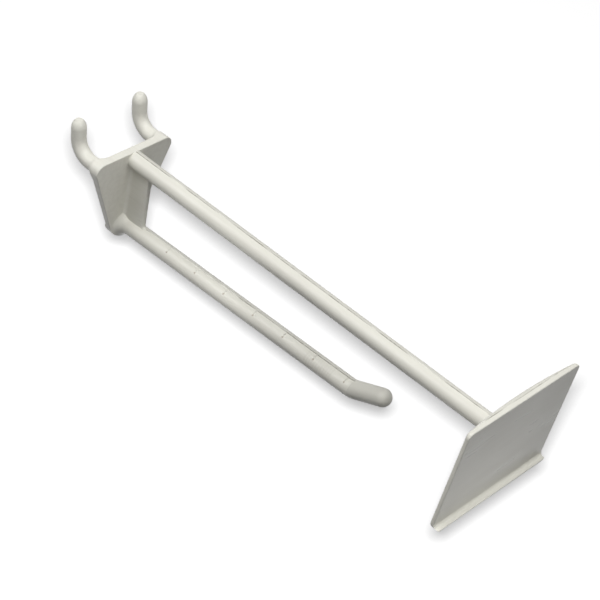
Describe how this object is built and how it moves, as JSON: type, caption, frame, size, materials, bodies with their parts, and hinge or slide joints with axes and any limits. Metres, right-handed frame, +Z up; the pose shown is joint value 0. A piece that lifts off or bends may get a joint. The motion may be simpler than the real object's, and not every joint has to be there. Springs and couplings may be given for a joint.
{
  "type": "scan hook",
  "caption": "One-piece plastic pegboard hook with a straight arm for goods and, above it, a longer arm that holds a label plate out in front.",
  "frame": {"origin": "on the rear face of the back plate, halfway between the two pegs and level with their straight part", "axes": "+X to the right seen from the front, +Y back into the board, +Z up"},
  "size_m": [0.0486, 0.1704, 0.0465],
  "materials": {
    "off_white_plastic": "moulded, satin to glossy, slightly warm off-white"
  },
  "bodies": {
    "root": {"scan_hook": "off_white_plastic"}
  },
  "joints": []
}
